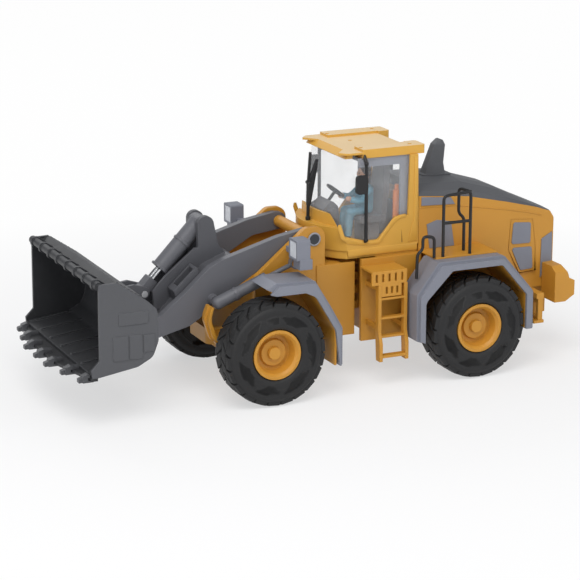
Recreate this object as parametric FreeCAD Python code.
"""Toy front loader, 1:20 scale: an articulated four-wheel machine with a lifting boom and tilting bucket.

Working frame while modelling: x forward from the front axle, y to the left, z up from the ground.
The finished part is moved so that its origin is the bottom centre of its bounding box.
"""
import FreeCAD
import Part
import math
import os

V = FreeCAD.Vector

# ---------------------------------------------------------------- driving dimensions (mm, degrees)
TYRE_RADIUS = 45.0
WHEELBASE = 190.0
TRACK_OVER_TYRES = 180.0
TYRE_WIDTH = 32.0
RIM_RADIUS = 21.2
LUG_HEIGHT = 3.0
LUG_COUNT = 22
AXLE_RADIUS = 3.0
RUNNING_FIT = 0.08
CLEAR = 0.3

WHEEL_TO_FRAME = 22.0
TOWER_THICK = 5.5
TOWER_RADIUS = 10.3
WALL = 3.0
ARCH_SHEET = 1.8
FENDER_SKIN = 3.5
RIM_BAND = 3.0

STEER_PIN_RADIUS = 4.0
FLAP_END_BEFORE_PIVOT = 3.0
REAR_SIDE_WALL = 3.5

BOOM_PIVOT_AHEAD = 41.0
BOOM_PIVOT_Z = 127.5
BOOM_PIN_RADIUS = 4.0
ARM_TO_TOWER = 1.0
ARM_THICK = 7.0
BUCKET_PIVOT_X = 94.0
BUCKET_PIVOT_Z = 66.0
BUCKET_PIN_RADIUS = 2.5
ARM_END_RADIUS = 8.0
ARM_HEEL_RADIUS = 6.6
PIVOT_TUBE_RADIUS = 5.0
TILT_PIVOT_X = 33.0
TILT_PIVOT_Z = 142.0
TILT_PIN_X = 86.0
TILT_PIN_Z = 87.0
TILT_PIN_RADIUS = 1.6
TILT_PIN_PLAY = 2.9

LIFT_PIVOT_X = 36.0
LIFT_PIVOT_Z = 84.0
LIFT_ANCHOR_X = -34.0
LIFT_ANCHOR_Z = 111.0
LIFT_RADIUS = 5.0
LIFT_ROD_RADIUS = 2.0
LIFT_PIN_RADIUS = 1.5
LIFT_PIN_PLAY = 2.7

BUCKET_INSIDE_TYRES = 4.0
BUCKET_WALL = 2.6
TOOTH_COUNT = 7

CAB_FLOOR_Z = 107.0
CAB_SILL_Z = 144.0
COWL_Z = 134.0
CAB_NOSE = 32.5
CAB_SIDE_START = 11.0
GLASS_NOSE = 24.0
GLASS_LEAN = 12.0
CAB_BACK = 57.0
CAB_WALL = 2.4
ROOF_TOP_Z = 200.0
ROOF_DEPTH = 7.5

HOOD_WALL = 2.4
PANEL_THICK = 0.7
BODY_LENGTH_BEHIND_AXLE = 97.0
DECK_Z = 107.0
RAIL_RADIUS = 1.5
GEAR_TEETH = 24
PINION_TEETH = 10
GEAR_MODULE = 0.5
GEAR_WIDTH = 4.0
GLASS = 1.2
WIPER_Y = 3.0

# ---------------------------------------------------------------- values worked out from them
AXLE_Z = TYRE_RADIUS
TYRE_OUTER = TRACK_OVER_TYRES / 2
TYRE_INNER = TYRE_OUTER - TYRE_WIDTH
FRAME_HALF_WIDTH = TYRE_INNER - WHEEL_TO_FRAME
SIDE_HALF_WIDTH = FRAME_HALF_WIDTH + 8.0
TOWER_INNER = FRAME_HALF_WIDTH + 1.5
ARM_OUTER = TOWER_INNER - ARM_TO_TOWER
LIFT_Y = FRAME_HALF_WIDTH + 13.2
BUCKET_HALF_WIDTH = TYRE_OUTER - BUCKET_INSIDE_TYRES
CAB_HALF_WIDTH = FRAME_HALF_WIDTH + 9.0
ROOF_HALF_WIDTH = CAB_HALF_WIDTH - 2.0
HOOD_HALF_WIDTH = FRAME_HALF_WIDTH + 9.0
ROOF_BOTTOM_Z = ROOF_TOP_Z - ROOF_DEPTH
CAB_ROOM = ROOF_BOTTOM_Z - CAB_FLOOR_Z
DECK_EDGE_Y = TYRE_OUTER - 13.0
RAIL_Y = TYRE_OUTER - 15.0
LADDER_Y = TYRE_OUTER - 18.0
PIVOT_X = -WHEELBASE / 2
REAR_X = -WHEELBASE
BOOM_PIVOT_X = PIVOT_X + BOOM_PIVOT_AHEAD
TOWER_OUTER = TOWER_INNER + TOWER_THICK
ARM_INNER = ARM_OUTER - ARM_THICK
TOWER_BACK_X = BOOM_PIVOT_X - TOWER_RADIUS
REAR_WALL_INNER = SIDE_HALF_WIDTH + REAR_SIDE_WALL
REAR_WALL_OUTER = REAR_WALL_INNER + REAR_SIDE_WALL
FRAME_TOP_Z = CAB_FLOOR_Z - 3.0
FRAME_BOTTOM_Z = 40.0
BULKHEAD_X = PIVOT_X - 16.0
BODY_BACK_X = REAR_X - BODY_LENGTH_BEHIND_AXLE
CAB_BACK_X = PIVOT_X - CAB_BACK
FENDER_INNER = LIFT_Y + LIFT_RADIUS + 1.7
GEAR_RADIUS = GEAR_MODULE * GEAR_TEETH / 2
PINION_RADIUS = GEAR_MODULE * PINION_TEETH / 2
GEAR_Y = 12.0
PINION_X = REAR_X + GEAR_RADIUS + PINION_RADIUS


# ---------------------------------------------------------------- shape helpers
def box(x0, x1, y0, y1, z0, z1):
    return Part.makeBox(x1 - x0, y1 - y0, z1 - z0, V(x0, y0, z0))


def rod(start, end, radius):
    start = V(*start)
    along = V(*end) - start
    return Part.makeCylinder(radius, along.Length, start, along)


def join(shapes):
    shapes = list(shapes)
    return shapes[0].multiFuse(shapes[1:]).removeSplitter() if len(shapes) > 1 else shapes[0]


def group(shapes):
    return Part.makeCompound(list(shapes))


def mirrored(shape):
    return shape.mirror(V(0, 0, 0), V(0, 1, 0))


def both_sides(shape):
    return group([shape, mirrored(shape)])


def corner_edges(points):
    """Edges of a closed flat outline. A point (u, v, r) has its corner rounded to the radius r."""
    count = len(points)
    entries, mids, exits = [], [], []
    for i in range(count):
        here = V(points[i][0], points[i][1], 0)
        before = V(points[i - 1][0], points[i - 1][1], 0) - here
        after = V(points[(i + 1) % count][0], points[(i + 1) % count][1], 0) - here
        radius = points[i][2] if len(points[i]) > 2 else 0.0
        reach = 0.49 * min(before.Length, after.Length)
        half = before.getAngle(after) / 2
        setback = min(radius / math.tan(half), reach)
        radius = setback * math.tan(half)
        entries.append(here + before.normalize() * setback)
        exits.append(here + after.normalize() * setback)
        toward = (before + after).normalize()
        mids.append(here + toward * (radius / math.sin(half) - radius) if setback > 1e-6 else None)
    edges = []
    for i in range(count):
        if mids[i]:
            edges.append(Part.Arc(entries[i], mids[i], exits[i]).toShape())
        following = entries[(i + 1) % count]
        if (following - exits[i]).Length > 1e-6:
            edges.append(Part.LineSegment(exits[i], following).toShape())
    return edges


def outline(points, plane, level):
    """A closed wire in the named plane ('xy', 'xz' or 'yz') at the given level of the third axis."""
    wire = Part.Wire(Part.__sortEdges__(corner_edges(points)))
    frames = {
        "xy": (V(1, 0, 0), V(0, 1, 0), V(0, 0, 1)),
        "xz": (V(1, 0, 0), V(0, 0, 1), V(0, 1, 0)),
        "yz": (V(0, 1, 0), V(0, 0, 1), V(1, 0, 0)),
    }
    u, v, n = frames[plane]
    o = n * level
    matrix = FreeCAD.Matrix(u.x, v.x, n.x, o.x, u.y, v.y, n.y, o.y, u.z, v.z, n.z, o.z, 0, 0, 0, 1)
    return wire.transformGeometry(matrix) if plane == "xz" else wire.transformed(matrix)


def plate(points, plane, low, high):
    """The outline extruded from low to high along the third axis."""
    normals = {"xy": V(0, 0, 1), "xz": V(0, 1, 0), "yz": V(1, 0, 0)}
    face = Part.Face(outline(points, plane, low))
    return face.extrude(normals[plane] * (high - low))


def tapered(points_low, low, points_high, high, plane):
    """A ruled solid between two outlines with the same number of corners."""
    return Part.makeLoft([outline(points_low, plane, low), outline(points_high, plane, high)], True, True)


def pipe_run(points, radius):
    """A round tube along straight runs, with ball-rounded corners."""
    pieces = [rod(a, b, radius) for a, b in zip(points, points[1:])]
    pieces += [Part.makeSphere(radius, V(*p)) for p in points[1:-1]]
    return join(pieces)


def revolved(profile, centre_x, centre_z):
    """A profile of (radius, y) points turned about the axle line through (centre_x, centre_z)."""
    points = [V(centre_x, y, centre_z + r) for r, y in profile]
    face = Part.Face(Part.makePolygon(points + [points[0]]))
    return face.revolve(V(centre_x, 0, centre_z), V(0, 1, 0), 360)


def along(start, end, distance):
    """The point at a distance from start towards end, in the x-z plane."""
    length = math.hypot(end[0] - start[0], end[1] - start[1])
    share = distance / length
    return start[0] + (end[0] - start[0]) * share, start[1] + (end[1] - start[1]) * share


# ---------------------------------------------------------------- wheels and axles
def tyre(axle_x):
    """Left tyre: a bulging carcass with chevron lugs, in two slanted rows."""
    carcass = TYRE_RADIUS - LUG_HEIGHT
    shoulder = TYRE_WIDTH * 0.09
    sidewall = RIM_RADIUS + 3.0
    half = TYRE_WIDTH / 2
    mid = TYRE_OUTER - half
    profile = []
    for side in (1, -1):
        part = [
            (RIM_RADIUS, mid + side * (half - 4.0)),
            (sidewall, mid + side * (half - 1.2)),
            (sidewall + 6.0, mid + side * half),
            (carcass - 6.0, mid + side * (half - 0.4)),
            (carcass - 1.5, mid + side * (half - shoulder)),
            (carcass, mid + side * (half - shoulder - 3.0)),
        ]
        profile += part if side == 1 else part[::-1]
    body = revolved(profile, axle_x, AXLE_Z)
    lugs = []
    length = half - shoulder + 0.6
    width = 2 * math.pi * TYRE_RADIUS / LUG_COUNT * 0.56
    for i in range(LUG_COUNT):
        for side in (1, -1):
            lug = plate([
                (-width / 2, 0.4),
                (width / 2, 0.4),
                (width / 2 + length * 0.45, length),
                (-width / 2 + length * 0.45, length),
            ], "xy", carcass - 1.2, TYRE_RADIUS + 1.0)
            if side == -1:
                lug = lug.mirror(V(0, 0, 0), V(0, 1, 0))
            turn = 360.0 / LUG_COUNT * (i + (0.5 if side == -1 else 0.0))
            lug.rotate(V(0, 0, 0), V(0, 1, 0), turn)
            lug.translate(V(axle_x, mid, AXLE_Z))
            lugs.append(lug)
    tread = rod((axle_x, mid - half + shoulder * 0.5, AXLE_Z), (axle_x, mid + half - shoulder * 0.5, AXLE_Z), TYRE_RADIUS)
    lugs = [lug.common(tread) for lug in lugs]
    return join([body] + lugs)


def rim(axle_x):
    """Left rim: a deep dish with a stepped hub disc and a round centre cap, bored for the axle."""
    lip = TYRE_OUTER - 1.4
    back = TYRE_INNER + 3.0
    disc = TYRE_OUTER - 12.0
    bore = AXLE_RADIUS
    profile = [
        (bore, back + 2.0),
        (RIM_RADIUS - 5.0, back + 2.0),
        (RIM_RADIUS - 3.0, back),
        (RIM_RADIUS, back),
        (RIM_RADIUS, lip),
        (RIM_RADIUS - 2.4, lip),
        (RIM_RADIUS - 4.4, lip - 2.5),
        (RIM_RADIUS - 6.0, disc),
        (12.0, disc),
        (11.0, disc + 2.4),
        (5.8, disc + 2.4),
        (5.2, disc + 5.6),
        (0.0, disc + 5.6),
        (0.0, disc - 2.0),
        (bore, disc - 2.0),
    ]
    return revolved(profile, axle_x, AXLE_Z)


def gear(teeth, centre_x, centre_z, y0, phase, bore):
    """A spur gear with straight-sided teeth, thinner than the gap they turn in."""
    pitch = GEAR_MODULE * teeth / 2
    tip = pitch + 0.85 * GEAR_MODULE
    root = pitch - 1.15 * GEAR_MODULE
    step = 2 * math.pi / teeth
    points = []
    for i in range(teeth):
        middle = phase + i * step
        for offset, radius in ((-0.30, root), (-0.11, tip), (0.11, tip), (0.30, root)):
            angle = middle + offset * step
            points.append((centre_x + radius * math.cos(angle), centre_z + radius * math.sin(angle)))
    body = plate(points, "xz", y0, y0 + GEAR_WIDTH)
    return body.cut(rod((centre_x, y0 - 1, centre_z), (centre_x, y0 + GEAR_WIDTH + 1, centre_z), bore))


def axle_shaft(axle_x):
    """Round shaft through both rims."""
    end = TYRE_OUTER - 14.0
    return rod((axle_x, -end, AXLE_Z), (axle_x, end, AXLE_Z), AXLE_RADIUS)


def rear_axle():
    """Rear shaft with its driven gear pressed on as one piece."""
    wheel = gear(GEAR_TEETH, REAR_X, AXLE_Z, GEAR_Y, 0.0, AXLE_RADIUS - 0.5)
    return join([axle_shaft(REAR_X), wheel])


def drive_pinion():
    """Motor pinion with its shaft stub, in mesh with the axle gear on its front side."""
    step = math.pi / PINION_TEETH
    wheel = gear(PINION_TEETH, PINION_X, AXLE_Z, GEAR_Y, math.pi + step, 0.8)
    stub = rod((PINION_X, GEAR_Y - 6.0, AXLE_Z), (PINION_X, GEAR_Y + GEAR_WIDTH, AXLE_Z), 0.9)
    return join([wheel, stub])


def drive_motor():
    """Can motor beside the gear, bored for the pinion's shaft, on a bracket block under it."""
    x, z = PINION_X, AXLE_Z
    radius = GEAR_RADIUS + PINION_RADIUS - AXLE_RADIUS - 0.5
    can = rod((x, GEAR_Y - 26.0, z), (x, GEAR_Y - 2.0, z), radius)
    nose = rod((x, GEAR_Y - 2.0, z), (x, GEAR_Y - 0.6, z), 2.0)
    foot = box(x - radius * 0.8, x + radius * 1.4, GEAR_Y - 24.0, GEAR_Y - 4.0, CHASSIS_BOTTOM_Z + WALL, z - radius * 0.5)
    body = join([can, nose, foot])
    return body.cut(rod((x, GEAR_Y - 8.0, z), (x, GEAR_Y + 1.0, z), 0.9 + RUNNING_FIT))


def axle_hub(axle_x):
    """Stepped final-drive housing on the left, between the frame's side and the wheel."""
    profile = [
        (AXLE_RADIUS + RUNNING_FIT, FRAME_HALF_WIDTH),
        (17.0, FRAME_HALF_WIDTH),
        (17.0, FRAME_HALF_WIDTH + 6.0),
        (14.0, FRAME_HALF_WIDTH + 7.0),
        (14.0, TYRE_INNER - 7.0),
        (16.0, TYRE_INNER - 6.0),
        (16.0, TYRE_INNER - 3.0),
        (11.0, TYRE_INNER - 1.2),
        (AXLE_RADIUS + RUNNING_FIT, TYRE_INNER - 1.2),
    ]
    return revolved(profile, axle_x, AXLE_Z)


def axle_bore(axle_x):
    reach = FRAME_HALF_WIDTH + 20.0
    return rod((axle_x, -reach, AXLE_Z), (axle_x, reach, AXLE_Z), AXLE_RADIUS + RUNNING_FIT)


# ---------------------------------------------------------------- front frame
FRONT_BOX_FRONT_X = 24.0
FRONT_BOX_TOP_Z = 80.0
FRONT_BOX_LOW_Z = 53.5
FRONT_WALL_BACK_X = PIVOT_X + 15.0
NOSE_X = 35.0


def tower():
    """Left boom tower: a plate with a round head at the boom pivot and a long sloped front edge."""
    r = TOWER_RADIUS
    points = [
        (TOWER_BACK_X, FRONT_BOX_TOP_Z - 20.0),
        (TOWER_BACK_X, BOOM_PIVOT_Z + r, r),
        (BOOM_PIVOT_X + r * 0.75, BOOM_PIVOT_Z + r, r * 0.8),
        (BOOM_PIVOT_X + 54.0, FRAME_TOP_Z - 4.0, 4.0),
        (BOOM_PIVOT_X + 54.0, FRONT_BOX_TOP_Z - 20.0),
    ]
    return plate(points, "xz", TOWER_INNER, TOWER_OUTER)


def front_arch_outline(offset):
    """The wheel arch's inner line, moved outwards by an offset, from the rear foot to the front end."""
    o = offset
    return [
        (-(TYRE_RADIUS + 8.0) - o, 29.0),
        (-(TYRE_RADIUS + 8.0) - o, 60.0 + o * 0.3, 8.0),
        (-34.5 - o * 0.8, 91.0 + o * 0.5, 10.0),
        (-25.0 - o * 0.5, 95.5 + o, 4.0),
        (0.5 + o * 0.3, 95.5 + o),
    ]


def arch_band(inner, outer, y0, y1):
    return plate(inner + outer[::-1], "xz", y0, y1)


def front_arch_sheet():
    """Yellow sheet under the left front fender, fixed to the tower's side."""
    inner = front_arch_outline(0.0)
    outer = front_arch_outline(ARCH_SHEET)
    wide = arch_band(inner, outer, FENDER_INNER, TYRE_OUTER - RIM_BAND - 0.3)
    root = arch_band(inner, outer, TOWER_OUTER, FENDER_INNER + 1.0)
    return join([wide, root.common(box(-90.0, LIFT_ANCHOR_X + 12.0, 0.0, 90.0, 55.0, 120.0))])


def front_box_outline(inset):
    """Side view of the axle box, stepped down in front to let the lowered boom pass."""
    i = inset
    bottom = FRAME_BOTTOM_Z - 6.0 - (1.0 if inset else 0.0)
    return [
        (TOWER_BACK_X + i, bottom),
        (TOWER_BACK_X + i, FRONT_BOX_TOP_Z - i),
        (-6.0 - i, FRONT_BOX_TOP_Z - i),
        (3.0 - i, 62.0 - i),
        (FRONT_BOX_FRONT_X - i, FRONT_BOX_LOW_Z - i),
        (FRONT_BOX_FRONT_X - i, bottom),
    ]


def front_cheek():
    """Left nose cheek: a rounded plate ahead of the axle, cut away beside the lowered lift arm."""
    cheek = plate([
        (-2.0, FRAME_BOTTOM_Z),
        (-2.0, 59.5),
        (NOSE_X + 5.0, 59.5, 3.0),
        (NOSE_X, 44.0, 10.0),
        (NOSE_X - 14.0, FRAME_BOTTOM_Z, 6.0),
    ], "xz", FRAME_HALF_WIDTH - 1.0, TOWER_OUTER)
    return cheek.cut(box(FRONT_BOX_FRONT_X, NOSE_X + 20.0, 0.0, ARM_OUTER + 0.5, 30.0, 90.0))


def nose_liner():
    """Left curved liner ahead of the tyre: a bowed wall between the nose cheek and the wheel, with a rib."""
    outer = [
        (NOSE_X - 8.0, 47.0),
        (NOSE_X + 8.0, 53.0, 10.0),
        (NOSE_X + 13.5, 72.0, 14.0),
        (NOSE_X + 9.4, 82.0),
    ]
    inner = [
        (NOSE_X - 8.0, 50.5),
        (NOSE_X + 5.5, 56.0, 8.0),
        (NOSE_X + 10.3, 72.0, 12.0),
        (NOSE_X + 7.6, 82.0),
    ]
    rib = [(x + 1.6, z, *r) for x, z, *r in outer]
    wall = arch_band(inner, outer, TOWER_OUTER - 1.0, TYRE_INNER - 2.0)
    return join([wall, arch_band(inner, rib, TYRE_INNER - 10.0, TYRE_INNER - 7.0)])


def front_frame():
    """Front half of the chassis: axle box, nose, towers, shoulders, arch sheets and hinge lugs."""
    half = FRAME_HALF_WIDTH
    axle_box = plate(front_box_outline(0.0), "xz", -half, half)
    nose = plate([
        (FRONT_BOX_FRONT_X - 1.0, 8.0 - half),
        (FRONT_BOX_FRONT_X - 1.0, half - 8.0),
        (NOSE_X, half - 16.0, 8.0),
        (NOSE_X, 16.0 - half, 8.0),
    ], "xy", FRAME_BOTTOM_Z, FRONT_BOX_LOW_Z)
    rear_box = box(FRONT_WALL_BACK_X, TOWER_BACK_X, -SIDE_HALF_WIDTH, SIDE_HALF_WIDTH, FRAME_BOTTOM_Z, FRAME_TOP_Z)
    solid = [axle_box, nose, rear_box]
    for side in (1, -1):
        parts = [
            tower(),
            box(TOWER_BACK_X, -2.0, half - 1.0, TOWER_OUTER, FRAME_BOTTOM_Z + 20.0, FRONT_BOX_TOP_Z),
            front_cheek(),
            nose_liner(),
            box(TOWER_BACK_X, TOWER_BACK_X + 8.0, half - 1.0, SIDE_HALF_WIDTH, FRAME_BOTTOM_Z, FRAME_TOP_Z),
            box(PIVOT_X + FLAP_END_BEFORE_PIVOT, FRONT_WALL_BACK_X + 1.0,
                SIDE_HALF_WIDTH - WALL, SIDE_HALF_WIDTH, FRAME_BOTTOM_Z, FRAME_TOP_Z),
        ]
        solid += parts if side == 1 else [mirrored(p) for p in parts]
    for z in (60.0, 86.0):
        lug = plate([
            (FRONT_WALL_BACK_X + 1.0, -14.0),
            (FRONT_WALL_BACK_X + 1.0, 14.0),
            (PIVOT_X - 11.0, 11.0, 11.0),
            (PIVOT_X - 11.0, -11.0, 11.0),
        ], "xy", z, z + 6.0)
        solid.append(lug)
    body = join(solid)
    inside = plate(front_box_outline(WALL), "xz", -half + WALL, half - WALL)
    rear_inside = box(FRONT_WALL_BACK_X + WALL, TOWER_BACK_X - 0.0, -SIDE_HALF_WIDTH + WALL, SIDE_HALF_WIDTH - WALL,
                      FRAME_BOTTOM_Z + WALL, FRAME_TOP_Z - WALL)
    cuts = [inside, rear_inside, axle_bore(0.0)]
    reach = TOWER_OUTER + 10.0
    cuts.append(rod((BOOM_PIVOT_X, -reach, BOOM_PIVOT_Z), (BOOM_PIVOT_X, reach, BOOM_PIVOT_Z), BOOM_PIN_RADIUS))
    cuts.append(rod((PIVOT_X, 0, 50.0), (PIVOT_X, 0, FRAME_TOP_Z), STEER_PIN_RADIUS + RUNNING_FIT))
    body = body.cut(Part.makeCompound(cuts))
    pins = []
    for side in (1, -1):
        y0, y1 = sorted((side * (TOWER_OUTER - 0.5), side * (LIFT_Y + LIFT_ROD_RADIUS + 1.2)))
        pins.append(rod((LIFT_ANCHOR_X, y0, LIFT_ANCHOR_Z), (LIFT_ANCHOR_X, y1, LIFT_ANCHOR_Z), LIFT_PIN_RADIUS))
    return join([body] + pins)


def front_belly_cover():
    """Cover plate that closes the axle box from below, in its opening."""
    half = FRAME_HALF_WIDTH - WALL - 0.2
    z = FRAME_BOTTOM_Z - 6.0
    return box(TOWER_BACK_X + WALL + 0.2, FRONT_BOX_FRONT_X - WALL - 0.2, -half, half, z, z + 2.0)


def tower_cross_tube():
    """Round tube that ties the two boom pins together between the lift arms."""
    x, z = BOOM_PIVOT_X, BOOM_PIVOT_Z
    reach = ARM_INNER - CLEAR
    tube = rod((x, -reach, z), (x, reach, z), PIVOT_TUBE_RADIUS)
    return tube.cut(rod((x, reach - 4.0, z), (x, reach, z), BOOM_PIN_RADIUS)).cut(
        rod((x, -reach, z), (x, -reach + 4.0, z), BOOM_PIN_RADIUS))


def front_fender():
    """Left front fender: an angular grey band over the arch sheet, with a bevelled outer rim."""
    inner = front_arch_outline(ARCH_SHEET)
    outer = [
        (-60.0, 29.0),
        (-60.0, 61.0, 6.0),
        (-50.0, 79.0, 8.0),
        (-34.5, 104.5, 3.0),
        (0.0, 106.0, 1.0),
        (9.0, 101.5),
    ]
    inner = [(-60.0 + FENDER_SKIN, 29.0)] + inner[1:-1] + [(1.0, inner[-1][1])]
    body_end = TYRE_OUTER - RIM_BAND
    band = arch_band(inner, outer, FENDER_INNER, body_end)
    rim_inner = [(inner[0][0], inner[0][1])] + front_arch_outline(0.0)[1:-1] + [(1.0, 95.5)]
    rim_outer = [(x + 2.0 if x < -40 else x, z if z < 30 else z - 1.6, *r) for x, z, *r in outer[:-2]]
    rim_outer += [(-2.0, 103.4, 1.0), (6.0, 97.0)]
    rim = arch_band(rim_inner, rim_outer, body_end, TYRE_OUTER)
    flap = box(-60.0, -60.0 + FENDER_SKIN, FENDER_INNER, body_end, 29.0, 60.0)
    return join([band, rim, flap])


LAMP_WIDTH = 16.0
LAMP_Y = TYRE_OUTER - 12.5 - LAMP_WIDTH
LAMP_FRONT_X = BOOM_PIVOT_X + 31.5
LAMP_BACK_X = LAMP_FRONT_X - 12.2


def work_light():
    """Left work light: a tall lamp box over a base box, on a beam from the tower."""
    y0, y1 = LAMP_Y, LAMP_Y + LAMP_WIDTH
    front, back = LAMP_FRONT_X, LAMP_BACK_X
    lamp = plate([(y0, 119.5, 1.0), (y1, 119.5, 1.0), (y1, 136.8, 1.5), (y0, 136.8, 1.5)], "yz", back, front)
    base = box(back - 2.0, front - 3.0, y0 + 2.5, y1, 111.5, 120.0)
    arm = box(back - 2.5, back + 6.5, TOWER_OUTER, y0 + 1.0, 120.0, 124.5)
    body = join([lamp, base, arm])
    return body.cut(box(front - 1.6, front + 1.0, y0 + 1.8, y1 - 1.8, 121.5, 134.9))


def work_light_lens():
    return box(LAMP_FRONT_X - 1.6, LAMP_FRONT_X - 0.4, LAMP_Y + 1.8, LAMP_Y + LAMP_WIDTH - 1.8, 121.5, 134.9)


def boom_pivot_pin():
    """Left boom pin with a raised round head outside the tower."""
    pin = rod((BOOM_PIVOT_X, ARM_INNER - CLEAR - 4.0, BOOM_PIVOT_Z), (BOOM_PIVOT_X, TOWER_OUTER, BOOM_PIVOT_Z), BOOM_PIN_RADIUS)
    head = rod((BOOM_PIVOT_X, TOWER_OUTER, BOOM_PIVOT_Z), (BOOM_PIVOT_X, TOWER_OUTER + 1.2, BOOM_PIVOT_Z), 5.6)
    return join([pin, head])


# ---------------------------------------------------------------- boom
def arm_outline():
    """Side view of a lift arm, from the tower pivot down the sloped beam to the bucket pivot."""
    return [
        (BOOM_PIVOT_X - ARM_HEEL_RADIUS, BOOM_PIVOT_Z - ARM_HEEL_RADIUS, ARM_HEEL_RADIUS),
        (-29.0, 117.0, 12.0),
        (35.5, 79.8, 6.0),
        (47.0, 69.0, 6.0),
        (57.0, 63.0, 4.0),
        (BUCKET_PIVOT_X - 9.0, BUCKET_PIVOT_Z - 9.8, 2.0),
        (BUCKET_PIVOT_X + ARM_END_RADIUS, BUCKET_PIVOT_Z - ARM_END_RADIUS, ARM_END_RADIUS),
        (BUCKET_PIVOT_X + ARM_END_RADIUS, BUCKET_PIVOT_Z + ARM_END_RADIUS, ARM_END_RADIUS),
        (BUCKET_PIVOT_X - 11.0, BUCKET_PIVOT_Z + ARM_END_RADIUS, 3.0),
        (60.0, 92.0, 6.0),
        (38.0, 111.5, 10.0),
        (25.0, 117.0, 12.0),
        (BOOM_PIVOT_X + 30.0, 131.0, 20.0),
        (BOOM_PIVOT_X + 4.0, BOOM_PIVOT_Z + 8.0, 8.0),
        (BOOM_PIVOT_X - ARM_HEEL_RADIUS, BOOM_PIVOT_Z + ARM_HEEL_RADIUS, ARM_HEEL_RADIUS),
    ]


def lift_arm():
    """Left lift arm, bored at both ends, with a raised border and the lift cylinder's pin."""
    body = plate(arm_outline(), "xz", ARM_INNER, ARM_OUTER)
    body = body.cut(rod((BOOM_PIVOT_X, 0, BOOM_PIVOT_Z), (BOOM_PIVOT_X, 60, BOOM_PIVOT_Z), BOOM_PIN_RADIUS + RUNNING_FIT))
    body = body.cut(rod((BUCKET_PIVOT_X, 0, BUCKET_PIVOT_Z), (BUCKET_PIVOT_X, 60, BUCKET_PIVOT_Z),
                        BUCKET_PIN_RADIUS + RUNNING_FIT))
    boss = rod((LIFT_PIVOT_X, ARM_OUTER - 1.0, LIFT_PIVOT_Z), (LIFT_PIVOT_X, LIFT_Y - LIFT_RADIUS - 1.4, LIFT_PIVOT_Z), 4.5)
    pin = rod((LIFT_PIVOT_X, ARM_OUTER - 1.0, LIFT_PIVOT_Z), (LIFT_PIVOT_X, LIFT_Y + 2.0, LIFT_PIVOT_Z), 2.0)
    return join([body, boss, pin])


LUG_INNER = 9.0
CHEEK_OUTER = 13.6
CHEEK_THICK = 2.9


def boom_crossbox():
    """Box between the arms, with two raised pocket frames, the tilt cylinder's lugs and their side cheeks."""
    width = ARM_INNER
    body = plate([
        (20.0, 96.0, 3.0),
        (46.0, 76.0, 4.0),
        (70.0, 66.5, 3.0),
        (78.0, 70.0, 3.0),
        (56.0, 91.0, 3.0),
        (36.0, 109.0, 4.0),
        (14.0, 117.5, 3.0),
        (4.0, 112.0, 3.0),
    ], "xz", -width, width)
    frames, lugs = [], []
    for side in (1, -1):
        y0, y1 = sorted((side * (CHEEK_OUTER + 1.2), side * (width - 0.5)))
        frame = plate([(43.5, 100.0), (46.5, 111.5, 1.0), (67.5, 92.3, 1.0), (64.0, 82.0)], "xz", y0, y1)
        pocket = plate([(40.5, 98.0), (47.0, 114.5), (66.5, 97.0), (59.0, 82.0)], "xz", y0 + 2.2, y1 - 2.2)
        ends = plate([(46.5, 96.0), (50.0, 114.5), (64.5, 101.0), (61.0, 84.0)], "xz", y0 + 2.2, y1 - 2.2)
        frames.append(frame.cut(pocket.common(ends)))
        y0, y1 = sorted((side * LUG_INNER, side * CHEEK_OUTER))
        lugs.append(plate([
            (10.0, 112.0),
            (TILT_PIVOT_X - 12.0, 124.0, 4.0),
            (TILT_PIVOT_X - 7.0, TILT_PIVOT_Z + 7.5, 7.5),
            (TILT_PIVOT_X + 6.0, TILT_PIVOT_Z + 7.5, 6.5),
            (TILT_PIVOT_X + 6.0, 112.0),
            (40.0, 100.0),
        ], "xz", y0, y1))
        y0, y1 = sorted((side * (CHEEK_OUTER - CHEEK_THICK), side * CHEEK_OUTER))
        lugs.append(plate([
            (TILT_PIVOT_X + 2.0, 106.0),
            (TILT_PIVOT_X + 5.0, 123.0),
            (42.0, 123.0, 1.0),
            (69.0, 101.5, 1.0),
            (80.5, 89.5, 1.0),
            (78.5, 74.0, 2.0),
            (62.0, 75.0),
        ], "xz", y0, y1))
    pin = rod((TILT_PIVOT_X, -LUG_INNER - 1.0, TILT_PIVOT_Z), (TILT_PIVOT_X, LUG_INNER + 1.0, TILT_PIVOT_Z), 3.0)
    return join([body] + frames + lugs + [pin])


# ---------------------------------------------------------------- cylinders
def tilt_axis(distance):
    return along((TILT_PIVOT_X, TILT_PIVOT_Z), (TILT_PIN_X, TILT_PIN_Z), distance)


def axis_rod(place, start, end, radius, y=0.0):
    """A round bar along a cylinder's axis between two distances from its pivot."""
    x0, z0 = place(start)
    x1, z1 = place(end)
    return rod((x0, y, z0), (x1, y, z1), radius)


TILT_RADIUS = 7.6
TILT_LENGTH = 51.5
TILT_BORE = 5.2


def tilt_barrel():
    """Tilt cylinder's barrel, with a round eye on the boom's lug, a collar and a flared mouth."""
    eye = rod((TILT_PIVOT_X, 0.8 - LUG_INNER, TILT_PIVOT_Z), (TILT_PIVOT_X, LUG_INNER - 0.8, TILT_PIVOT_Z), 6.6)
    barrel = axis_rod(tilt_axis, 0.0, TILT_LENGTH, TILT_RADIUS)
    collar = axis_rod(tilt_axis, 21.0, 23.0, TILT_RADIUS + 0.7)
    mouth = axis_rod(tilt_axis, TILT_LENGTH - 2.0, TILT_LENGTH, TILT_RADIUS + 1.2)
    body = join([eye, barrel, collar, mouth])
    bore = axis_rod(tilt_axis, 11.0, TILT_LENGTH + 1.0, TILT_BORE)
    pin_hole = rod((TILT_PIVOT_X, -20, TILT_PIVOT_Z), (TILT_PIVOT_X, 20, TILT_PIVOT_Z), 3.0 + RUNNING_FIT)
    return body.cut(Part.makeCompound([bore, pin_hole]))


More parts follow.
